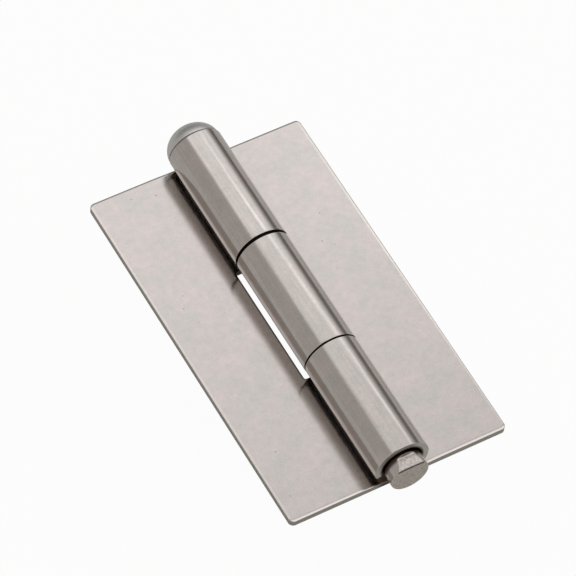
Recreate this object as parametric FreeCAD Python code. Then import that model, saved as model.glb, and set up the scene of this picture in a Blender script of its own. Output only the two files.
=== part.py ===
import FreeCAD, Part
import math
import os

# Leaves, in millimetres
hinge_length = 100.0    # along the barrel
open_width = 58.0       # across both leaves laid flat
sheet = 1.8             # thickness of the leaf sheet
corner_radius = 1.3     # outer corners of the leaves
edge_break = 0.3        # sharp edges taken off the sheet

# Pin
pin_diameter = 9.9
pin_stick_out = 3.9     # below the lowest knuckle
pin_drop = 0.15         # the loose pin lies low in the bore
pin_end_chamfer = 0.3
crop_length = 2.4       # end's top, sloped where the bar was sheared off
crop_fall = 1.5         # how far that slope comes down
head_height = 5.9       # of the dome
head_inset = 0.2        # dome's edge in from the barrel's, on the radius
head_chamfer = 0.3      # round the foot of the dome

# Fits
pin_clearance = 0.35    # round the pin, on the radius
head_seat = 0.2         # under the dome, to the top knuckle
head_gap = 0.9          # end play above the middle knuckle
foot_gap = 0.5          # end play below the middle knuckle

# Knuckles rolled from the sheet
outer_knuckle = 33.05   # length of the top and the bottom knuckle
lip_angle = 22.0        # free end of the roll, degrees below the barrel's middle
notch_reach = 6.8       # from the barrel's middle to the notched edge
notch_radius = 1.0      # inner corners of the notches

bore_radius = pin_diameter / 2 + pin_clearance
barrel_radius = bore_radius + sheet
leaf_reach = open_width / 2
top_end = hinge_length / 2
notch_end = top_end - outer_knuckle
middle_top = notch_end - head_gap
middle_foot = foot_gap - notch_end
notch_run_out = 2 * notch_radius
roll_start = -90                # degrees, straight under the barrel's middle
roll_turn = 270 + lip_angle     # degrees, from there round to the free end


def straight(first, second):
    return Part.LineSegment(first, second).toShape()


# A leaf laid flat on its back with the roll above, side -1 lies at -X and side 1 at +X
def rolled_sheet(side):
    def flat(reach, height):
        return FreeCAD.Vector(side * reach, -top_end, height)

    def rolled(radius, share):
        turn = math.radians(roll_start - share * roll_turn)
        return flat(radius * math.cos(turn), barrel_radius + radius * math.sin(turn))

    def arc(radius):
        return Part.Arc(rolled(radius, 0), rolled(radius, 1 / 2), rolled(radius, 1)).toShape()

    outline = Part.Wire(Part.__sortEdges__([
        straight(flat(leaf_reach, 0), rolled(barrel_radius, 0)),
        arc(barrel_radius),
        straight(rolled(barrel_radius, 1), rolled(bore_radius, 1)),
        arc(bore_radius),
        straight(rolled(bore_radius, 0), flat(leaf_reach, sheet)),
        straight(flat(leaf_reach, sheet), flat(leaf_reach, 0)),
    ]))
    return Part.Face(outline).extrude(FreeCAD.Vector(0, hinge_length, 0))


# Upright edges of a shape at a given distance out from the barrel
def upright_edges(shape, reach):
    found = []
    for edge in shape.Edges:
        box = edge.BoundBox
        upright = box.ZLength > max(box.XLength, box.YLength)
        if upright and math.isclose(abs(box.Center.x), reach, abs_tol=edge_break):
            found.append(edge)
    return found


# Clears the roll and notches the flat below it, to make room for the other leaf's knuckle
def notch(side, foot, top):
    reach = 2 * barrel_radius
    width = notch_reach + reach
    left = min(side * notch_reach, -side * reach)
    slot = Part.makeBox(width, top - foot, 2 * sheet, FreeCAD.Vector(left, foot, -sheet))
    inner = [edge for edge in upright_edges(slot, notch_reach) if edge.BoundBox.Center.x * side > 0]
    room = Part.makeBox(2 * reach, top - foot, 2 * reach, FreeCAD.Vector(-reach, foot, sheet))
    return slot.makeFillet(notch_radius, inner).fuse(room)


# Rounds the outer corners, then breaks the sharp edges round the sheet's two faces and the knuckle ends
def finished(leaf):
    leaf = leaf.makeFillet(corner_radius, upright_edges(leaf, leaf_reach))
    rims = []
    for edge in leaf.Edges:
        box = edge.BoundBox
        level = box.ZLength < edge_break and min(abs(box.ZMin), abs(box.ZMin - sheet)) < edge_break
        bend_line = abs(box.XMin) < edge_break and abs(box.XMax) < edge_break
        if level and not bend_line:
            rims.append(edge)
    return leaf.makeChamfer(edge_break, rims)


two_knuckle_leaf = finished(rolled_sheet(-1).cut(notch(-1, -notch_end, notch_end)))
middle_only = rolled_sheet(1).cut(notch(1, middle_top, top_end + notch_run_out))
one_knuckle_leaf = finished(middle_only.cut(notch(1, -top_end - notch_run_out, middle_foot)))

# Pin with its domed head, turned about its own axis
pin_radius = pin_diameter / 2
head_radius = barrel_radius - head_inset
pin_level = barrel_radius - pin_drop
head_foot = top_end + head_seat
pin_foot = -top_end - pin_stick_out
dome_foot = head_foot + head_chamfer
dome_rise = head_height - head_chamfer
dome_radius = (head_radius ** 2 + dome_rise ** 2) / (2 * dome_rise)
half_turn = math.asin(head_radius / dome_radius) / 2
dome_middle = dome_foot + dome_rise - dome_radius


def turned(radius, along):
    return FreeCAD.Vector(radius, along, pin_level)


dome = Part.Arc(
    turned(head_radius, dome_foot),
    turned(dome_radius * math.sin(half_turn), dome_middle + dome_radius * math.cos(half_turn)),
    turned(0, dome_foot + dome_rise),
).toShape()
corners = [
    turned(0, dome_foot + dome_rise),
    turned(0, pin_foot),
    turned(pin_radius - pin_end_chamfer, pin_foot),
    turned(pin_radius, pin_foot + pin_end_chamfer),
    turned(pin_radius, head_foot),
    turned(head_radius - head_chamfer, head_foot),
    turned(head_radius, dome_foot),
]
sides = [straight(first, second) for first, second in zip(corners, corners[1:])]
half_pin = Part.Face(Part.Wire(Part.__sortEdges__(sides + [dome])))
whole_pin = half_pin.revolve(turned(0, 0), FreeCAD.Vector(0, 1, 0), 360)

# Wedge over the sheared slope at the pin's end, run out past it at both ends
slope = FreeCAD.Vector(0, crop_length, crop_fall)
slope_top = turned(-pin_radius, pin_foot) + FreeCAD.Vector(0, crop_length, pin_radius)
wedge_top = slope_top + slope
wedge_foot = slope_top - 2 * slope
wedge_back = FreeCAD.Vector(-pin_radius, wedge_foot.y, wedge_top.z)
wedge = Part.Face(Part.makePolygon([wedge_top, wedge_foot, wedge_back, wedge_top]))
hinge_pin = whole_pin.cut(wedge.extrude(FreeCAD.Vector(pin_diameter, 0, 0)))

os.makedirs("parts", exist_ok=True)
two_knuckle_leaf.exportStep("parts/two_knuckle_leaf.step")
one_knuckle_leaf.exportStep("parts/one_knuckle_leaf.step")
hinge_pin.exportStep("parts/hinge_pin.step")
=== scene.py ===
import bmesh
import bpy
import math
from mathutils import Matrix, Vector


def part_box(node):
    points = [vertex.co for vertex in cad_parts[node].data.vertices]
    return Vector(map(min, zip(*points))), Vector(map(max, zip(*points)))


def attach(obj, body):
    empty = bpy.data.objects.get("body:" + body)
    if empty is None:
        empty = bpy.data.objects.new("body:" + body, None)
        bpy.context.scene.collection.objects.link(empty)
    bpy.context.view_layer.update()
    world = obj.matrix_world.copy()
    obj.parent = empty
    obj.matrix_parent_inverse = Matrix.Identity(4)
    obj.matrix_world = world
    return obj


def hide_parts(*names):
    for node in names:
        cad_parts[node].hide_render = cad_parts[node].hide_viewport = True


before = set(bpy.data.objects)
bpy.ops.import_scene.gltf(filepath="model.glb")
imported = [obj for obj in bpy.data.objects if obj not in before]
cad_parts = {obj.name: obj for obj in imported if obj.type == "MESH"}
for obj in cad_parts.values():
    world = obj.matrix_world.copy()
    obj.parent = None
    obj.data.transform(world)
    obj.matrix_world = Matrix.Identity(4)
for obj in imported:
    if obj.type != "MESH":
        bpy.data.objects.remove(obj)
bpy.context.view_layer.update()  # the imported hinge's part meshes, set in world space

hair = 1e-6                    # metres, finer than any size of the hinge
pointDigits = 7                # decimals of a metre that tell two points apart
mmScale = (1000, 1000, 1000)   # patterns are laid out in millimetres
numberA, numberB = 2, 3        # a Mix node's sockets share their names, so they go by number
colourA, colourB, mixedColour = 6, 7, 2


def toLinear(hexColour):  # sRGB hex to the linear colour that shaders use
    shares = [int(hexColour[k:k + 2], 16) / 255 for k in (0, 2, 4)]
    linear = [s / 12.92 if s <= 0.04045 else ((s + 0.055) / 1.055) ** 2.4 for s in shares]
    return (*linear, 1)


def addNode(tree, kind, inputs=None, **settings):  # a node, its settings, and links or values by socket
    node = tree.nodes.new(kind)
    for name, value in settings.items():
        setattr(node, name, value)
    for name, value in (inputs or {}).items():
        if isinstance(value, bpy.types.NodeSocket):
            tree.links.new(value, node.inputs[name])
        else:
            node.inputs[name].default_value = value
    return node


def newMaterial(name):
    material = bpy.data.materials.new(name)
    material.use_nodes = True
    material.node_tree.nodes.clear()
    return material, material.node_tree


# Stainless sheet as it leaves the mill: a smooth pale warm grey that clouds faintly pink and green,
# with a few pits. The roll's rubbing has left clearer, lengthwise streaks on the barrel. Sheared edges are
# dull and darker low on the flat as painted shade, the leaf's rims are burnished and lighter as a painted
# highlight, and painted shade darkens the bore, the joints and the cut faces under the barrel.
sheetSteel = {
    "pale": "d3c8c6",           # pinkish clouds
    "cool": "c6c3bf",           # greenish clouds
    "pit": "8a817a",
    "rolled": "b2ada7",         # darker streaks along the roll
    "rolledShare": (0.2, 0.5),  # how much of that shows, between the streaks and on them
    "rubbed": "d6cfca",         # burnished rims, lighter as a painted highlight
    "sheared": "a6a39d",        # torn grain of the cut edges, darker as painted shade low on the flat
    "knuckleEnd": "c2c0bb",     # cut edges up on the roll, lighter than the shaded ones low on the flat
    "paintedShade": "57493f",        # painted shade, which starts and is full at these pairs of distances:
    "jointMm": (22, 19),        # along the barrel from its middle, on cut faces and rims
    "notchMm": (10, 8),         # and sideways from the barrel's axis, on the same
    "rootMm": (6.6, 4.5),       # sideways from that axis, on the flat's cut faces under the barrel
    "boreMm": (5.95, 5.5),      # all round that axis, inside the barrel and on its ends
    "axisMm": 7.1,              # height of that axis
    "rollFromMm": (2.2, 3.2),   # height where the flat gives way to the roll
    "cloudMm": 4.5,             # width of a cloud
    "mottleMm": 1.6,            # width of a lighter or darker fleck
    "mottle": (0.97, 1.03),     # its tone
    "grainMm": 0.45,            # pickled grain, drawn about ten times its real size so that it shows
    "grain": (0.955, 1.045),    # its tone
    "streakMm": (0.7, 14.0),    # width and length of a lengthwise streak on the roll
    "pitEveryMm": 5.0,
    "pitMm": 0.3,
    "noiseSpan": (0.3, 0.7),    # the part of a noise pattern's range that is used
    "flatRoughness": (0.16, 0.21),
    "rollRoughness": (0.11, 0.17),
    "rubbedRoughness": 0.15,
    "shearedRoughness": 0.5,
    "bumpStrength": 0.03,
    "bumpDepth": 0.00002,       # metres
}


def makeSheetSteel(look):
    material, tree = newMaterial("millFinishStainless")
    place = addNode(tree, "ShaderNodeTexCoord").outputs["Object"]
    mm = addNode(tree, "ShaderNodeMapping", {"Vector": place, "Scale": mmScale}).outputs[0]
    axes = addNode(tree, "ShaderNodeSeparateXYZ", {0: mm}).outputs

    # Clouds, flecks, grain, streaks and pits
    cloud = addNode(tree, "ShaderNodeTexNoise", {
        "Vector": mm, "Scale": 1 / look["cloudMm"], "Detail": 4, "Roughness": 0.6}).outputs[0]
    mottle = addNode(tree, "ShaderNodeTexNoise", {
        "Vector": mm, "Scale": 1 / look["mottleMm"], "Detail": 2}).outputs[0]
    grain = addNode(tree, "ShaderNodeTexNoise", {
        "Vector": mm, "Scale": 1 / look["grainMm"], "Detail": 3}).outputs[0]
    width, length = look["streakMm"]
    stretched = addNode(tree, "ShaderNodeMapping", {
        "Vector": mm, "Scale": (1 / width, 1 / length, 1 / width)}).outputs[0]
    streak = addNode(tree, "ShaderNodeTexNoise", {"Vector": stretched, "Scale": 1, "Detail": 2}).outputs[0]
    cell = addNode(tree, "ShaderNodeTexVoronoi", {"Vector": mm, "Scale": 1 / look["pitEveryMm"]})
    pitDot = addNode(tree, "ShaderNodeMapRange", {
        "Value": cell.outputs["Distance"],
        "From Min": look["pitMm"] / look["pitEveryMm"], "From Max": 0}).outputs[0]
    span = {"From Min": look["noiseSpan"][0], "From Max": look["noiseSpan"][1]}
    cloudMask = addNode(tree, "ShaderNodeMapRange", {**span, "Value": cloud}).outputs[0]
    fleckTone, grainTone, streakShare, flatGloss, rollGloss = [
        addNode(tree, "ShaderNodeMapRange", {
            **span, "Value": pattern, "To Min": look[limits][0], "To Max": look[limits][1]}).outputs[0]
        for pattern, limits in ((mottle, "mottle"), (grain, "grain"), (streak, "rolledShare"),
                                (grain, "flatRoughness"), (streak, "rollRoughness"))]

    # Where the sheet is cut, burnished and highlit, rolled, and given painted shade
    cutMask = addNode(tree, "ShaderNodeAttribute", attribute_name="cutFace").outputs["Fac"]
    rubMask = addNode(tree, "ShaderNodeAttribute", attribute_name="rubbedEdge").outputs["Fac"]
    across = addNode(tree, "ShaderNodeMath", {0: axes["X"]}, operation="ABSOLUTE").outputs[0]
    along = addNode(tree, "ShaderNodeMath", {0: axes["Y"]}, operation="ABSOLUTE").outputs[0]
    rise = addNode(tree, "ShaderNodeMath", {0: axes["Z"], 1: look["axisMm"]}, operation="SUBTRACT").outputs[0]
    fromAxis = addNode(tree, "ShaderNodeCombineXYZ", {0: across, 2: rise}).outputs[0]
    fromAxis = addNode(tree, "ShaderNodeVectorMath", {0: fromAxis}, operation="LENGTH").outputs["Value"]
    rollMask, joint, notch, root, bore = [
        addNode(tree, "ShaderNodeMapRange", {
            "Value": measure, "From Min": look[limits][0], "From Max": look[limits][1]}).outputs[0]
        for measure, limits in ((axes["Z"], "rollFromMm"), (along, "jointMm"), (across, "notchMm"),
                                (across, "rootMm"), (fromAxis, "boreMm"))]
    streakMask = addNode(tree, "ShaderNodeMath", {
        0: streakShare, 1: rollMask}, operation="MULTIPLY").outputs[0]
    flatMask = addNode(tree, "ShaderNodeMath", {0: 1.0, 1: rollMask}, operation="SUBTRACT").outputs[0]
    # painted shade at the joints beside the barrel, on the flat's cut faces under the barrel, and in the bore
    jointMask = addNode(tree, "ShaderNodeMath", {0: joint, 1: notch}, operation="MULTIPLY").outputs[0]
    rimMask = addNode(tree, "ShaderNodeMath", {0: jointMask, 1: flatMask}, operation="MULTIPLY").outputs[0]
    rootMask = addNode(tree, "ShaderNodeMath", {0: root, 1: flatMask}, operation="MULTIPLY").outputs[0]
    greasy = addNode(tree, "ShaderNodeMath", {0: jointMask, 1: rootMask}, operation="MAXIMUM").outputs[0]
    greasy = addNode(tree, "ShaderNodeMath", {0: greasy, 1: bore}, operation="MAXIMUM").outputs[0]

    # Colours, each laid over the one before
    # a dark colour painted where shade falls, not a stain
    grease = toLinear(look["paintedShade"])
    # rims lighter than the sheet: burnished, and partly a painted highlight; by the joints they take the
    # painted shade
    rim = addNode(tree, "ShaderNodeMix", {
        0: rimMask, colourA: toLinear(look["rubbed"]), colourB: grease},
        data_type="RGBA").outputs[mixedColour]
    # cut faces: partly duller torn grain, partly painted shade, darker low on the flat than up on the roll
    cut = addNode(tree, "ShaderNodeMix", {
        0: rollMask, colourA: toLinear(look["sheared"]), colourB: toLinear(look["knuckleEnd"])},
        data_type="RGBA").outputs[mixedColour]
    cut = addNode(tree, "ShaderNodeMix", {
        0: greasy, colourA: cut, colourB: grease}, data_type="RGBA").outputs[mixedColour]
    colour = toLinear(look["cool"])
    for mask, shade in ((cloudMask, toLinear(look["pale"])), (pitDot, toLinear(look["pit"])),
                        (streakMask, toLinear(look["rolled"])), (bore, grease), (rubMask, rim),
                        (cutMask, cut)):
        colour = addNode(tree, "ShaderNodeMix", {
            0: mask, colourA: colour, colourB: shade}, data_type="RGBA").outputs[mixedColour]
    tone = addNode(tree, "ShaderNodeMath", {0: fleckTone, 1: grainTone}, operation="MULTIPLY").outputs[0]
    colour = addNode(tree, "ShaderNodeVectorMath", {0: colour, "Scale": tone}, operation="SCALE").outputs[0]

    # Gloss and relief
    gloss = flatGloss
    for mask, value in ((rollMask, rollGloss), (rubMask, look["rubbedRoughness"]),
                        (cutMask, look["shearedRoughness"])):
        gloss = addNode(tree, "ShaderNodeMix", {0: mask, numberA: gloss, numberB: value}).outputs[0]
    relief = addNode(tree, "ShaderNodeMix", {0: rollMask, numberA: grain, numberB: streak}).outputs[0]
    bump = addNode(tree, "ShaderNodeBump", {
        "Height": relief, "Strength": look["bumpStrength"], "Distance": look["bumpDepth"]}).outputs[0]
    shader = addNode(tree, "ShaderNodeBsdfPrincipled", {
        "Base Color": colour, "Metallic": 1, "Roughness": gloss, "Normal": bump}).outputs[0]
    addNode(tree, "ShaderNodeOutputMaterial", {"Surface": shader})
    return material


# Stainless bar turned in a lathe: fine rings round its axis, a satin dome, a smooth shank with painted
# shade in the bore, where it leaves the bore, at the joints and under the dome, and a dull, crumbled face
# where the bar was cropped, under a smeared slope with a broken line of painted shade at its foot.
barSteel = {
    "bright": "c9c5c0",
    "dull": "bdb9b5",
    "domed": "cfcecd",
    "croppedPale": "cdc6c0",
    "croppedDark": "b0a9a2",
    "smearedPale": "c2bab6",    # slope that the shear dragged down
    "smearedDark": "a39b96",
    "burr": "4c4642",           # painted shade: a broken dark line in the crease at the slope's foot
    "creaseShadeSpan": (0.35, 0.5),    # the part of the clouds' range over which it breaks off
    "shankShade": "5a483f",          # painted shade where the shank leaves the bore, inside it, at the joints and under the dome
    "shankShadeAlong": (             # millimetres along the pin, and the share of painted shade there
        (-51.7, 0), (-51, 1), (-48, 1), (-40, 0.3), (-25, 0.3), (-18, 0.5), (-15, 0.5), (-8, 0.3),
        (8, 0.3), (15, 0.5), (18, 0.5), (25, 0.3), (44, 0.3), (49, 1), (50.35, 1), (50.65, 0)),
    "shankShadeSpan": (0.3, 0.6),    # the part of the clouds' range over which it is patchy
    "shankShadeLeast": 0.85,         # what is left of it in the thin patches
    "ringMm": 0.35,             # feed of the tool, drawn coarser than it is so that it shows
    "cloudMm": 3.0,
    "crumbMm": 0.6,
    "crumbSpan": (0.35, 0.65),  # the part of a noise pattern's range that is used
    "ringSpan": (0.3, 0.7),     # the same, for the rings
    "shankRoughness": (0.14, 0.20),
    "domeRoughness": (0.36, 0.44),
    "smearedRoughness": 0.28,
    "croppedRoughness": 0.45,
    "bumpStrength": 0.06,
    "bumpDepth": 0.00002,       # metres
    "domeFromMm": (49.9, 50.3),        # along the pin, where the satin dome starts and is full
    "croppedFromMm": (-53.7, -53.85),  # the same for the cropped face
    "axisMm": 6.95,                    # height of the pin's axis
}


def makeBarSteel(look):
    material, tree = newMaterial("turnedStainless")
    place = addNode(tree, "ShaderNodeTexCoord").outputs["Object"]
    mm = addNode(tree, "ShaderNodeMapping", {
        "Vector": place, "Location": (0, 0, -look["axisMm"]), "Scale": mmScale}).outputs[0]
    axes = addNode(tree, "ShaderNodeSeparateXYZ", {0: mm}).outputs

    # Rings round the axis, clouds and crumbs
    across = addNode(tree, "ShaderNodeCombineXYZ", {0: axes["X"], 1: axes["Z"]}).outputs[0]
    radius = addNode(tree, "ShaderNodeVectorMath", {0: across}, operation="LENGTH").outputs["Value"]
    turned = addNode(tree, "ShaderNodeCombineXYZ", {0: radius, 1: axes["Y"]}).outputs[0]
    rings, cloud, crumb = [
        addNode(tree, "ShaderNodeTexNoise", {
            "Vector": layout, "Scale": 1 / look[wide], "Detail": detail}).outputs[0]
        for layout, wide, detail in ((turned, "ringMm", 2), (mm, "cloudMm", 4), (mm, "crumbMm", 3))]

    # Where the bar is domed, cropped, dragged and painted with shade
    dragMask = addNode(tree, "ShaderNodeAttribute", attribute_name="dragged").outputs["Fac"]
    burrLine = addNode(tree, "ShaderNodeAttribute", attribute_name="burr").outputs["Fac"]
    domeMask, cropMask, crumbMask, burrBreaks = [
        addNode(tree, "ShaderNodeMapRange", {
            "Value": measure, "From Min": look[limits][0], "From Max": look[limits][1]}).outputs[0]
        for measure, limits in ((axes["Y"], "domeFromMm"), (axes["Y"], "croppedFromMm"),
                                (crumb, "crumbSpan"), (cloud, "creaseShadeSpan"))]
    burrMask = addNode(tree, "ShaderNodeMath", {0: burrLine, 1: burrBreaks}, operation="MULTIPLY").outputs[0]
    # painted shade along the pin, set by the stops below and made patchy by the clouds
    first, last = look["shankShadeAlong"][0][0], look["shankShadeAlong"][-1][0]
    reached = addNode(tree, "ShaderNodeMapRange", {
        "Value": axes["Y"], "From Min": first, "From Max": last}).outputs[0]
    spread = addNode(tree, "ShaderNodeValToRGB", {0: reached})
    stops = spread.color_ramp.elements
    while len(stops) < len(look["shankShadeAlong"]):
        stops.new(1)
    for stop, (along, share) in zip(stops, look["shankShadeAlong"]):
        stop.position = (along - first) / (last - first)
        stop.color = (share, share, share, 1)
    patchy = addNode(tree, "ShaderNodeMapRange", {
        "Value": cloud, "From Min": look["shankShadeSpan"][0], "From Max": look["shankShadeSpan"][1],
        "To Min": look["shankShadeLeast"]}).outputs[0]
    grimeMask = addNode(tree, "ShaderNodeMath", {
        0: spread.outputs[0], 1: patchy}, operation="MULTIPLY").outputs[0]

    # Colours, each laid over the one before
    cropped, smeared = [
        addNode(tree, "ShaderNodeMix", {
            0: crumbMask, colourA: toLinear(look[dark]), colourB: toLinear(look[pale])},
            data_type="RGBA").outputs[mixedColour]
        for dark, pale in (("croppedDark", "croppedPale"), ("smearedDark", "smearedPale"))]
    colour = toLinear(look["bright"])
    for mask, shade in ((cloud, toLinear(look["dull"])), (domeMask, toLinear(look["domed"])),
                        (grimeMask, toLinear(look["shankShade"])), (dragMask, smeared), (cropMask, cropped),
                        (burrMask, toLinear(look["burr"]))):
        colour = addNode(tree, "ShaderNodeMix", {
            0: mask, colourA: colour, colourB: shade}, data_type="RGBA").outputs[mixedColour]

    # Gloss and relief
    shankGloss, domeGloss = [
        addNode(tree, "ShaderNodeMapRange", {
            "Value": rings, "From Min": look["ringSpan"][0], "From Max": look["ringSpan"][1],
            "To Min": look[limits][0], "To Max": look[limits][1]}).outputs[0]
        for limits in ("shankRoughness", "domeRoughness")]
    gloss = shankGloss
    for mask, value in ((domeMask, domeGloss), (dragMask, look["smearedRoughness"]),
                        (cropMask, look["croppedRoughness"])):
        gloss = addNode(tree, "ShaderNodeMix", {0: mask, numberA: gloss, numberB: value}).outputs[0]
    bump = addNode(tree, "ShaderNodeBump", {
        "Height": rings, "Strength": look["bumpStrength"], "Distance": look["bumpDepth"]}).outputs[0]
    shader = addNode(tree, "ShaderNodeBsdfPrincipled", {
        "Base Color": colour, "Metallic": 1, "Roughness": gloss, "Normal": bump}).outputs[0]
    addNode(tree, "ShaderNodeOutputMaterial", {"Surface": shader})
    return material


sheetMaterial = makeSheetSteel(sheetSteel)
barMaterial = makeBarSteel(barSteel)
print("materials made:", sheetMaterial.name, barMaterial.name)


# Both leaves are cut from sheet as flat blanks with tongues, and the tongues are rolled into knuckles
lowLeaf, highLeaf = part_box("two_knuckle_leaf")
leaf = {
    "reach": -lowLeaf[0],           # barrel's middle to the outer edge
    "halfLength": highLeaf[1],
    "barrelRadius": highLeaf[2] / 2,
    "sheet": 0.0018,
    "cornerRadius": 0.0013,
    "cornerSteps": 8,
    "notchReach": 0.0068,           # barrel's middle to the notched edge
    "notchRadius": 0.0006,
    "notchEnd": 0.01695,            # half the notch in the two-knuckle leaf
    "middleTop": 0.01605,           # ends of the middle knuckle
    "middleFoot": -0.01645,
    "lipDegrees": 22,               # free end of the roll, below the barrel's middle
    "sliceDegrees": 3,
    "sharpDegrees": 30,             # edges that turn by more than this are rounded
    "edgeRound": 0.0009,            # width of that on the front's outer edges, which the shear has drawn down
    "edgeSteps": 8,
    "squash": 4.2,                  # how many times wider than deep every rounding is
    "smallRoundShare": 0.227,       # share of that width on the back, the knuckles and the notches' sides
    "notchRoundShare": 0.667,       # and on the front of the notched edges
    "roundFade": 0.004,             # run past the bend over which the front's wide edges and thinning fade
    "thinFrom": 0.0122,             # the roll has drawn the sheet's front thinner from here inwards
    "thinTo": 0.0078,               # and it grows no thinner from here on
    "thinEase": 0.0022,             # run over which the thinning starts
    "thinSlope": 0.046,             # fall of the front from there on
    "thinCuts": (0.0078, 0.0084, 0.009, 0.0096, 0.0102, 0.0107, 0.0112, 0.0117, 0.0122),
    "lipRound": 0.0009,             # outer corner of the roll's free end
    "lipCuts": (0.00025, 0.00032, 0.0004, 0.0005, 0.00062, 0.00075),
    "cutLevel": (0.5, 0.2),         # how level a face is where it starts to count as cut, and fully does
    "rimLevel": (0.9995, 0.993),    # the same for a burnished rim, which takes the painted highlight
    "rimSteepest": (0.9, 0.95),     # a face is too steep for a rim up to the first, and not past the second
}
leaf["rollDegrees"] = 270 + leaf["lipDegrees"]  # from straight under the barrel's middle to the lip
leaf["rollLength"] = math.radians(leaf["rollDegrees"]) * (leaf["barrelRadius"] - leaf["sheet"] / 2)


def roundedOutline(corners):  # square corners (u, y, radius) to points, rounded where a radius is given
    points = []
    for k, (u, y, radius) in enumerate(corners):
        corner = Vector((u, y))
        if not radius:
            points.append(corner)
            continue
        before = (Vector(corners[k - 1][:2]) - corner).normalized()
        after = (Vector(corners[(k + 1) % len(corners)][:2]) - corner).normalized()
        middle = corner + radius * (before + after)
        for step in range(leaf["cornerSteps"] + 1):
            turn = math.pi / 2 * step / leaf["cornerSteps"]
            points.append(middle - radius * (after * math.cos(turn) + before * math.sin(turn)))
    return points


def cutBlank(name, corners, tongues):  # flat sheet: the leaf's outline, and sliced tongues past the bend
    mesh = bpy.data.meshes.new(name)
    work = bmesh.new()
    found = {}

    def vertex(u, y):
        key = (round(u, pointDigits), round(y, pointDigits))
        if key not in found:
            found[key] = work.verts.new((u, y, 0))
        return found[key]

    faces = [work.faces.new([vertex(*point) for point in roundedOutline(corners)])]
    slices = round(leaf["rollDegrees"] / leaf["sliceDegrees"])
    for foot, top in tongues:
        for k in range(slices):
            near, far = [-leaf["rollLength"] * step / slices for step in (k, k + 1)]
            ring = [vertex(near, foot), vertex(near, top), vertex(far, top), vertex(far, foot)]
            faces.append(work.faces.new(ring))

    # Thickness, and cuts where the front will bend
    raised = bmesh.ops.extrude_face_region(work, geom=faces, use_keep_orig=True)["geom"]
    thick = leaf["sheet"] * leaf["squash"]
    bmesh.ops.translate(work, vec=(0, 0, thick),
                        verts=[item for item in raised if isinstance(item, bmesh.types.BMVert)])
    for cut in [*leaf["thinCuts"], *(fromTip - leaf["rollLength"] for fromTip in leaf["lipCuts"])]:
        bmesh.ops.bisect_plane(work, geom=work.verts[:] + work.edges[:] + work.faces[:],
                               plane_co=(cut, 0, 0), plane_no=(1, 0, 0))
    bmesh.ops.recalc_face_normals(work, faces=work.faces)

    # How wide each sharp edge is rounded
    weights = work.edges.layers.float.new("bevel_weight_edge")
    outerReach, outerEnd = leaf["reach"] - leaf["cornerRadius"], leaf["halfLength"] - leaf["cornerRadius"]
    for edge in work.edges:
        if edge.calc_face_angle(0) > math.radians(leaf["sharpDegrees"]):
            middle = (edge.verts[0].co + edge.verts[1].co) / 2
            front = middle.z > thick / 2
            outer = middle.x > outerReach - hair or abs(middle.y) > outerEnd - hair
            wide = 1 + min(middle.x, 0) / leaf["roundFade"] if outer and front else 0
            inset = leaf["notchReach"] - middle.x
            notched = 1 - inset / leaf["notchRadius"] if front and inset > -hair else 0
            edge[weights] = max(wide, leaf["notchRoundShare"] * notched, leaf["smallRoundShare"])
    work.to_mesh(mesh)
    work.free()
    blank = bpy.data.objects.new(name, mesh)
    bpy.context.scene.collection.objects.link(blank)
    return blank


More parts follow.
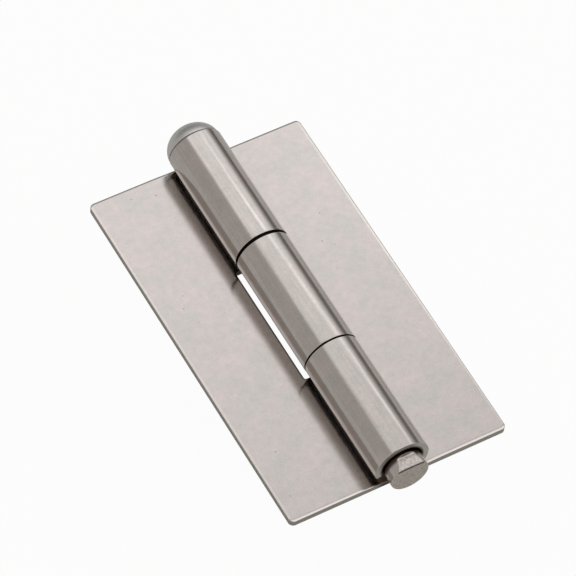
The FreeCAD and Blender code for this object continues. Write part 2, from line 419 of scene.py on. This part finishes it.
def makeRollTree(size):  # rolls what lies past the bend line round the barrel, back face outwards
    tree = bpy.data.node_groups.new("rollKnuckles", "GeometryNodeTree")
    tree.interface.new_socket("Blank", in_out="INPUT", socket_type="NodeSocketGeometry")
    for name in ("Barrel radius", "Sheet", "Squash", "Side", "Thin from", "Thin to", "Thin ease",
                 "Thin slope", "Bend fade", "Roll length", "Lip round"):
        tree.interface.new_socket(name, in_out="INPUT", socket_type="NodeSocketFloat")
    tree.interface.new_socket("Steel", in_out="INPUT", socket_type="NodeSocketMaterial")
    tree.interface.new_socket("Leaf", in_out="OUTPUT", socket_type="NodeSocketGeometry")
    given = addNode(tree, "NodeGroupInput").outputs

    # The thick blank squashed to the sheet, which leaves its rounded edges wide and shallow
    thinner = addNode(tree, "ShaderNodeMath", {0: 1.0, 1: given["Squash"]}, operation="DIVIDE").outputs[0]
    scale = addNode(tree, "ShaderNodeCombineXYZ", {0: 1.0, 1: 1.0, 2: thinner}).outputs[0]
    marked = addNode(tree, "GeometryNodeTransform", {"Geometry": given["Blank"], "Scale": scale}).outputs[0]

    # Cut faces, and burnished rims that take a painted highlight, marked for the material, by how level each
    # face is
    normal = addNode(tree, "GeometryNodeInputNormal").outputs[0]
    upright = addNode(tree, "ShaderNodeSeparateXYZ", {0: normal}).outputs["Z"]
    level = addNode(tree, "ShaderNodeMath", {0: upright}, operation="ABSOLUTE").outputs[0]
    sheared, tilted, gentle = [
        addNode(tree, "ShaderNodeMapRange", {
            "Value": level, "From Min": size[limits][0], "From Max": size[limits][1]}).outputs[0]
        for limits in ("cutLevel", "rimLevel", "rimSteepest")]
    rubbed = addNode(tree, "ShaderNodeMath", {0: tilted, 1: gentle}, operation="MULTIPLY").outputs[0]
    for name, share in (("cutFace", sheared), ("rubbedEdge", rubbed)):
        marked = addNode(tree, "GeometryNodeStoreNamedAttribute", {
            "Geometry": marked, "Name": name, "Value": share}, data_type="FLOAT", domain="FACE").outputs[0]

    # The front thinned beside the roll: down along a parabola, straight on, and back to full past the bend
    place = addNode(tree, "GeometryNodeInputPosition").outputs[0]
    flat = addNode(tree, "ShaderNodeSeparateXYZ", {0: place}).outputs
    run = addNode(tree, "ShaderNodeMath", {
        0: given["Thin from"], 1: given["Thin to"]}, operation="SUBTRACT").outputs[0]
    inward = addNode(tree, "ShaderNodeMapRange", {
        "Value": flat["X"], "From Min": given["Thin from"], "From Max": given["Thin to"],
        "To Max": run}).outputs[0]
    eased = addNode(tree, "ShaderNodeMath", {
        0: inward, 1: given["Thin ease"]}, operation="MINIMUM").outputs[0]
    bent = addNode(tree, "ShaderNodeMath", {0: eased, 1: eased}, operation="MULTIPLY").outputs[0]
    bent = addNode(tree, "ShaderNodeMath", {0: bent, 1: given["Thin ease"]}, operation="DIVIDE").outputs[0]
    straight = addNode(tree, "ShaderNodeMath", {0: inward, 1: eased}, operation="SUBTRACT").outputs[0]
    fall = addNode(tree, "ShaderNodeMath", {
        0: bent, 1: 0.5, 2: straight}, operation="MULTIPLY_ADD").outputs[0]
    fall = addNode(tree, "ShaderNodeMath", {0: fall, 1: given["Thin slope"]}, operation="MULTIPLY").outputs[0]
    pastBend = addNode(tree, "ShaderNodeMath", {
        0: flat["X"], 1: given["Bend fade"]}, operation="DIVIDE").outputs[0]
    full = addNode(tree, "ShaderNodeMapRange", {
        "Value": pastBend, "From Min": -1.0, "From Max": 0.0}).outputs[0]
    fall = addNode(tree, "ShaderNodeMath", {0: fall, 1: full}, operation="MULTIPLY").outputs[0]
    front = addNode(tree, "ShaderNodeMath", {0: flat["Z"], 1: given["Sheet"]}, operation="DIVIDE").outputs[0]
    fall = addNode(tree, "ShaderNodeMath", {0: fall, 1: front}, operation="MULTIPLY").outputs[0]
    height = addNode(tree, "ShaderNodeMath", {0: flat["Z"], 1: fall}, operation="SUBTRACT").outputs[0]

    # The outer corner of the lip rounded off in a quarter circle
    fromTip = addNode(tree, "ShaderNodeMath", {
        0: flat["X"], 1: given["Roll length"]}, operation="ADD").outputs[0]
    nearTip = addNode(tree, "ShaderNodeMapRange", {
        "Value": fromTip, "From Min": given["Lip round"], "From Max": 0.0}).outputs[0]
    arc = addNode(tree, "ShaderNodeMath", {0: nearTip, 1: nearTip}, operation="MULTIPLY").outputs[0]
    arc = addNode(tree, "ShaderNodeMath", {0: 1.0, 1: arc}, operation="SUBTRACT").outputs[0]
    arc = addNode(tree, "ShaderNodeMath", {0: arc}, operation="SQRT").outputs[0]
    inset = addNode(tree, "ShaderNodeMath", {0: 1.0, 1: arc}, operation="SUBTRACT").outputs[0]
    inset = addNode(tree, "ShaderNodeMath", {
        0: inset, 1: given["Lip round"]}, operation="MULTIPLY").outputs[0]
    rear = addNode(tree, "ShaderNodeMath", {0: 1.0, 1: front}, operation="SUBTRACT").outputs[0]
    height = addNode(tree, "ShaderNodeMath", {
        0: inset, 1: rear, 2: height}, operation="MULTIPLY_ADD").outputs[0]

    # What lies past the bend line turned round the barrel, with the middle of the sheet as long as before
    out = addNode(tree, "ShaderNodeMath", {0: flat["X"], 1: 0.0}, operation="MAXIMUM").outputs[0]
    past = addNode(tree, "ShaderNodeMath", {0: out, 1: flat["X"]}, operation="SUBTRACT").outputs[0]
    half = addNode(tree, "ShaderNodeMath", {0: given["Sheet"], 1: 0.5}, operation="MULTIPLY").outputs[0]
    neutral = addNode(tree, "ShaderNodeMath", {
        0: given["Barrel radius"], 1: half}, operation="SUBTRACT").outputs[0]
    turn = addNode(tree, "ShaderNodeMath", {0: past, 1: neutral}, operation="DIVIDE").outputs[0]
    radius = addNode(tree, "ShaderNodeMath", {
        0: given["Barrel radius"], 1: height}, operation="SUBTRACT").outputs[0]
    sine = addNode(tree, "ShaderNodeMath", {0: turn}, operation="SINE").outputs[0]
    cosine = addNode(tree, "ShaderNodeMath", {0: turn}, operation="COSINE").outputs[0]
    back = addNode(tree, "ShaderNodeMath", {0: radius, 1: sine}, operation="MULTIPLY").outputs[0]
    down = addNode(tree, "ShaderNodeMath", {0: radius, 1: cosine}, operation="MULTIPLY").outputs[0]
    reach = addNode(tree, "ShaderNodeMath", {0: out, 1: back}, operation="SUBTRACT").outputs[0]
    rise = addNode(tree, "ShaderNodeMath", {
        0: given["Barrel radius"], 1: down}, operation="SUBTRACT").outputs[0]
    across = addNode(tree, "ShaderNodeMath", {0: reach, 1: given["Side"]}, operation="MULTIPLY").outputs[0]
    along = addNode(tree, "ShaderNodeMath", {0: flat["Y"], 1: given["Side"]}, operation="MULTIPLY").outputs[0]
    rolledPlace = addNode(tree, "ShaderNodeCombineXYZ", {0: across, 1: along, 2: rise}).outputs[0]
    rolled = addNode(tree, "GeometryNodeSetPosition", {
        "Geometry": marked, "Position": rolledPlace}).outputs[0]
    smooth = addNode(tree, "GeometryNodeSetShadeSmooth", {"Geometry": rolled}).outputs[0]
    real = addNode(tree, "GeometryNodeRealizeInstances", {"Geometry": smooth}).outputs[0]
    dressed = addNode(tree, "GeometryNodeSetMaterial", {
        "Geometry": real, "Material": given["Steel"]}).outputs[0]
    addNode(tree, "NodeGroupOutput", {"Leaf": dressed})
    return tree


def settle(piece):  # modifiers to a plain mesh
    bpy.context.view_layer.update()
    made = bpy.data.meshes.new_from_object(piece.evaluated_get(bpy.context.evaluated_depsgraph_get()))
    piece.modifiers.clear()
    piece.data = made
    return piece


def rollLeaf(blank, side):
    softened = blank.modifiers.new("softEdges", "BEVEL")
    softened.width = leaf["edgeRound"]
    softened.segments = leaf["edgeSteps"]
    softened.limit_method = "WEIGHT"
    softened.use_clamp_overlap = False
    roll = blank.modifiers.new("roll", "NODES")
    roll.node_group = rollTree
    values = {"Barrel radius": leaf["barrelRadius"], "Sheet": leaf["sheet"], "Squash": leaf["squash"],
              "Side": float(side), "Thin from": leaf["thinFrom"], "Thin to": leaf["thinTo"],
              "Thin ease": leaf["thinEase"], "Thin slope": leaf["thinSlope"], "Bend fade": leaf["roundFade"],
              "Roll length": leaf["rollLength"], "Lip round": leaf["lipRound"], "Steel": sheetMaterial}
    for item in rollTree.interface.items_tree:
        if item.in_out == "INPUT" and item.name in values:
            roll[item.identifier] = values[item.name]
    weighted = blank.modifiers.new("flatShading", "WEIGHTED_NORMAL")
    weighted.keep_sharp = False
    return settle(blank)


rollTree = makeRollTree(leaf)
reach, end, notchReach, notchEnd = leaf["reach"], leaf["halfLength"], leaf["notchReach"], leaf["notchEnd"]
corner, notch = leaf["cornerRadius"], leaf["notchRadius"]
top, foot = leaf["middleTop"], leaf["middleFoot"]
twoKnuckle = cutBlank("twoKnuckleLeaf", [
    (0, -end, 0), (reach, -end, corner), (reach, end, corner), (0, end, 0), (0, notchEnd, 0),
    (notchReach, notchEnd, notch), (notchReach, -notchEnd, notch), (0, -notchEnd, 0)],
    [(-end, -notchEnd), (notchEnd, end)])
oneKnuckle = cutBlank("oneKnuckleLeaf", [
    (0, foot, 0), (notchReach, foot, notch), (notchReach, -end, 0), (reach, -end, corner),
    (reach, end, corner), (notchReach, end, 0), (notchReach, top, notch), (0, top, 0)],
    [(foot, top)])
for piece, side, node in ((twoKnuckle, -1, "two_knuckle_leaf"), (oneKnuckle, 1, "one_knuckle_leaf")):
    rollLeaf(piece, side)
    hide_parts(node)
    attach(piece, node)
    print(piece.name, "rolled,", len(piece.data.polygons), "faces")


# The loose pin is turned from bar in one piece with its domed head. At its foot the shear that cropped
# the bar has dragged its top down to a slope.
pin = {
    "level": 0.00695,           # it lies a little low in the bore
    "radius": 0.00495,
    "foot": -0.0539,
    "footRound": 0.00035,
    "cropLength": 0.0034,       # the slope, along the pin
    "cropDrop": 0.0016,         # how far it comes down
    "cropStep": 0.0006,         # of that, where the blade first bit
    "cropEase": 0.12,           # share of the slope over which it bit
    "cropBend": 2.5,            # how much the rest of the slope bends down to the foot
    "cropCrown": 0.12,          # share of the bar's roundness that is left on the slope
    "cropSteps": 16,
    "creaseShadeShare": 0.9,           # share of the foot's rounding that the painted shade line takes up
    "headRadius": 0.0069,
    "headFoot": 0.0502,
    "headChamfer": 0.0003,
    "apex": 0.0561,
    "segments": 128,
    "faceRings": 12,
    "domeSteps": 24,
    "edgeSteps": 4,
}


def turnPin(size):
    domeFoot = size["headFoot"] + size["headChamfer"]
    domeRise = size["apex"] - domeFoot
    faceRadius = size["radius"] - size["footRound"]

    # Half the pin's outline from the foot's middle to the dome's: radius, and place along the pin
    profile = [(faceRadius * ring / size["faceRings"], size["foot"]) for ring in range(size["faceRings"])]
    for step in range(size["edgeSteps"] + 1):
        turn = math.pi / 2 * step / size["edgeSteps"]
        profile.append((faceRadius + size["footRound"] * math.sin(turn),
                        size["foot"] + size["footRound"] * (1 - math.cos(turn))))
    for step in range(1, size["cropSteps"] + 1):
        share = step / size["cropSteps"]
        along = size["foot"] + size["footRound"] * (1 - share) + size["cropLength"] * share
        profile.append((size["radius"], along))
    profile += [(size["radius"], size["headFoot"]),
                (size["headRadius"] - size["headChamfer"], size["headFoot"])]
    for step in range(size["domeSteps"] + 1):
        turn = math.pi / 2 * (1 - step / size["domeSteps"])
        profile.append((size["headRadius"] * math.sin(turn), domeFoot + domeRise * math.cos(turn)))

    mesh = bpy.data.meshes.new("hingePin")
    work = bmesh.new()
    verts = [work.verts.new((radius, along, size["level"])) for radius, along in profile]
    edges = [work.edges.new(pair) for pair in zip(verts, verts[1:])]
    bmesh.ops.spin(work, geom=verts + edges, cent=(0, 0, size["level"]), axis=(0, 1, 0),
                   angle=2 * math.pi, steps=size["segments"], use_merge=True)
    bmesh.ops.remove_doubles(work, verts=work.verts, dist=10 ** -pointDigits)
    bmesh.ops.recalc_face_normals(work, faces=work.faces)

    # The cropped end's top dragged down, and marked for the material
    dragged = work.verts.layers.float.new("dragged")
    burr = work.verts.layers.float.new("burr")
    for vertex in work.verts:
        rise = vertex.co.y - size["foot"]
        near = 1 - rise / size["cropLength"]
        bite = min(1, near / size["cropEase"])
        bend = max(near, 0) ** size["cropBend"]
        drop = size["cropStep"] * bite + (size["cropDrop"] - size["cropStep"]) * bend
        over = vertex.co.z - size["level"] - size["radius"] + drop
        if near > 0 and over > 0:
            vertex.co.z -= (1 - size["cropCrown"]) * over
            vertex[dragged] = bite
            # a broken line of painted shade in the crease where the slope meets the foot's rounding
            vertex[burr] = 1 if hair < rise < size["creaseShadeShare"] * size["footRound"] else 0
    for face in work.faces:
        face.smooth = True
    work.to_mesh(mesh)
    work.free()
    piece = bpy.data.objects.new("hingePin", mesh)
    bpy.context.scene.collection.objects.link(piece)
    mesh.materials.append(barMaterial)
    weighted = piece.modifiers.new("flatShading", "WEIGHTED_NORMAL")
    weighted.keep_sharp = False
    return settle(piece)


hingePin = turnPin(pin)
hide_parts("hinge_pin")
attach(hingePin, "hinge_pin")
print("pin turned,", len(hingePin.data.polygons), "faces")


# Plain pale floor, lower than the leaf swings, in a grey room with a broad soft light overhead
studio = {
    "floorLevel": -0.032,
    "floorSize": 12,
    "paper": "d9d8d5",
    "whiteShare": 0.96,             # how far plain white takes the paper's place for the camera
    "mirroredShare": 0.1,           # the same, where the metal mirrors it
    "leftWall": (0.505, 0.484, 0.46),
    "rightWall": (0.2, 0.185, 0.175),
    "endWall": (0.2, 0.198, 0.19),
    "wallDegrees": (0, 60),         # from straight up, the left wall gives way to the right
    "endWallFrom": (0.75, 0.92),    # share of the way to the near and the far end
    "mainLevel": 1.2,
    "mainLeft": (-33, -25),         # degrees from straight up, soft edges of the overhead light
    "mainSkew": (0.43, 0.5, 5),     # its left edge runs askew by this many degrees between these two
    "mainRight": (80, 52),
    "mainNear": (0.25, 0.55),       # its near and far edges, by how far back the light comes from
    "mainFar": (0.78, 0.56),
    "frontLevel": 1.2,              # a second light over the near end, which draws the edges
    "frontLeft": (-20, 0),
    "frontRight": (75, 50),
    "frontNear": (-0.85, -0.35),
    "frontFar": (0.38, 0.12),
    "stripPlace": (0.57, 0.44, 0.66),
    "stripAlong": (0.81, -0.305, -0.503),
    "stripSize": (0.06, 0.46),
    "stripPower": 0.05,
}


def makeFloor(size):
    mesh = bpy.data.meshes.new("floor")
    half = size["floorSize"] / 2
    level = size["floorLevel"]
    mesh.from_pydata([(-half, -half, level), (half, -half, level), (half, half, level), (-half, half, level)],
                     [], [(0, 1, 2, 3)])
    floor = bpy.data.objects.new("floor", mesh)
    bpy.context.scene.collection.objects.link(floor)
    material, tree = newMaterial("whitePaper")  # matt and white, keeps the hinge's soft shadow
    rays = addNode(tree, "ShaderNodeLightPath").outputs
    mirrored = addNode(tree, "ShaderNodeMath", {
        0: rays["Is Glossy Ray"], 1: rays["Is Transmission Ray"]}, operation="MAXIMUM").outputs[0]
    mirrored = addNode(tree, "ShaderNodeMath", {
        0: mirrored, 1: size["mirroredShare"]}, operation="MULTIPLY").outputs[0]
    share = addNode(tree, "ShaderNodeMath", {
        0: rays["Is Camera Ray"], 1: size["whiteShare"], 2: mirrored}, operation="MULTIPLY_ADD").outputs[0]
    paper = addNode(tree, "ShaderNodeBsdfDiffuse", {"Color": toLinear(size["paper"])}).outputs[0]
    white = addNode(tree, "ShaderNodeEmission", {"Strength": 1}).outputs[0]
    surface = addNode(tree, "ShaderNodeMixShader", {0: share, 1: paper, 2: white}).outputs[0]
    addNode(tree, "ShaderNodeOutputMaterial", {"Surface": surface})
    mesh.materials.append(material)


def hangStrip(size):  # narrow light, turned to face the hinge, that draws the bright line down the barrel
    light = bpy.data.lights.new("stripLight", "AREA")
    light.shape = "RECTANGLE"
    light.size, light.size_y = size["stripSize"]
    light.energy = size["stripPower"]
    away = Vector(size["stripPlace"]).normalized()
    across = Vector(size["stripAlong"]).cross(away).normalized()
    strip = bpy.data.objects.new("stripLight", light)
    turn = Matrix((across, away.cross(across), away)).transposed()
    strip.matrix_world = Matrix.Translation(size["stripPlace"]) @ turn.to_4x4()
    bpy.context.scene.collection.objects.link(strip)


def makeRoom(size):
    world = bpy.data.worlds.new("greyRoom")
    bpy.context.scene.world = world
    world.use_nodes = True
    tree = world.node_tree
    tree.nodes.clear()
    look = addNode(tree, "ShaderNodeTexCoord").outputs["Generated"]
    axes = addNode(tree, "ShaderNodeSeparateXYZ", {0: look}).outputs
    lean = addNode(tree, "ShaderNodeMath", {0: axes["X"], 1: axes["Z"]}, operation="ARCTAN2").outputs[0]
    lean = addNode(tree, "ShaderNodeMath", {0: lean}, operation="DEGREES").outputs[0]
    endwise = addNode(tree, "ShaderNodeMath", {0: axes["Y"]}, operation="ABSOLUTE").outputs[0]
    start, stop, most = size["mainSkew"]
    skew = addNode(tree, "ShaderNodeMapRange", {
        "Value": axes["Y"], "From Min": start, "From Max": stop, "To Min": -most, "To Max": most}).outputs[0]
    skewed = addNode(tree, "ShaderNodeMath", {0: lean, 1: skew}, operation="SUBTRACT").outputs[0]

    def softMask(*limits):  # 1 inside soft limits, each a direction's measure and where it starts and is full
        mask = 1
        for measure, (start, full) in limits:
            edge = addNode(tree, "ShaderNodeMapRange", {
                "Value": measure, "From Min": start, "From Max": full},
                interpolation_type="SMOOTHSTEP").outputs[0]
            mask = addNode(tree, "ShaderNodeMath", {0: edge, 1: mask}, operation="MULTIPLY").outputs[0]
        return mask

    colour = (*size["leftWall"], 1)
    for mask, shade in (
            (softMask((lean, size["wallDegrees"])), size["rightWall"]),
            (softMask((endwise, size["endWallFrom"])), size["endWall"]),
            (softMask((skewed, size["mainLeft"]), (lean, size["mainRight"]), (axes["Y"], size["mainNear"]),
                      (axes["Y"], size["mainFar"])), [size["mainLevel"]] * 3),
            (softMask((lean, size["frontLeft"]), (lean, size["frontRight"]), (axes["Y"], size["frontNear"]),
                      (axes["Y"], size["frontFar"])), [size["frontLevel"]] * 3)):
        colour = addNode(tree, "ShaderNodeMix", {
            0: mask, colourA: colour, colourB: (*shade, 1)}, data_type="RGBA").outputs[mixedColour]
    seen = addNode(tree, "ShaderNodeLightPath").outputs["Is Camera Ray"]  # the camera itself sees white
    colour = addNode(tree, "ShaderNodeMix", {
        0: seen, colourA: colour, colourB: (1, 1, 1, 1)}, data_type="RGBA").outputs[mixedColour]
    shade = addNode(tree, "ShaderNodeBackground", {"Color": colour, "Strength": 1}).outputs[0]
    addNode(tree, "ShaderNodeOutputWorld", {"Surface": shade})


makeFloor(studio)
hangStrip(studio)
makeRoom(studio)
print("studio set")


# The photograph's own viewpoint: from above the near left corner, through a long lens
view = {
    "place": (-0.3258435, -0.4643967, 0.8390386),
    "right": (0.8707, -0.4872, 0.0667),
    "up": (0.3707, 0.7394, 0.5620),
    "forward": (0.3231, 0.4646, -0.8245),
    "lensMm": 266.4,
    "sensorMm": 36,
}
cameraData = bpy.data.cameras.new("camera")
cameraData.sensor_width = view["sensorMm"]
cameraData.lens = view["lensMm"]
camera = bpy.data.objects.new("camera", cameraData)
bpy.context.scene.collection.objects.link(camera)
backward = -Vector(view["forward"])
turnMatrix = Matrix((view["right"], view["up"], backward)).transposed()
camera.matrix_world = Matrix.Translation(view["place"]) @ turnMatrix.to_4x4()
bpy.context.scene.camera = camera
bpy.context.scene.view_settings.view_transform = "Standard"
print("camera set")
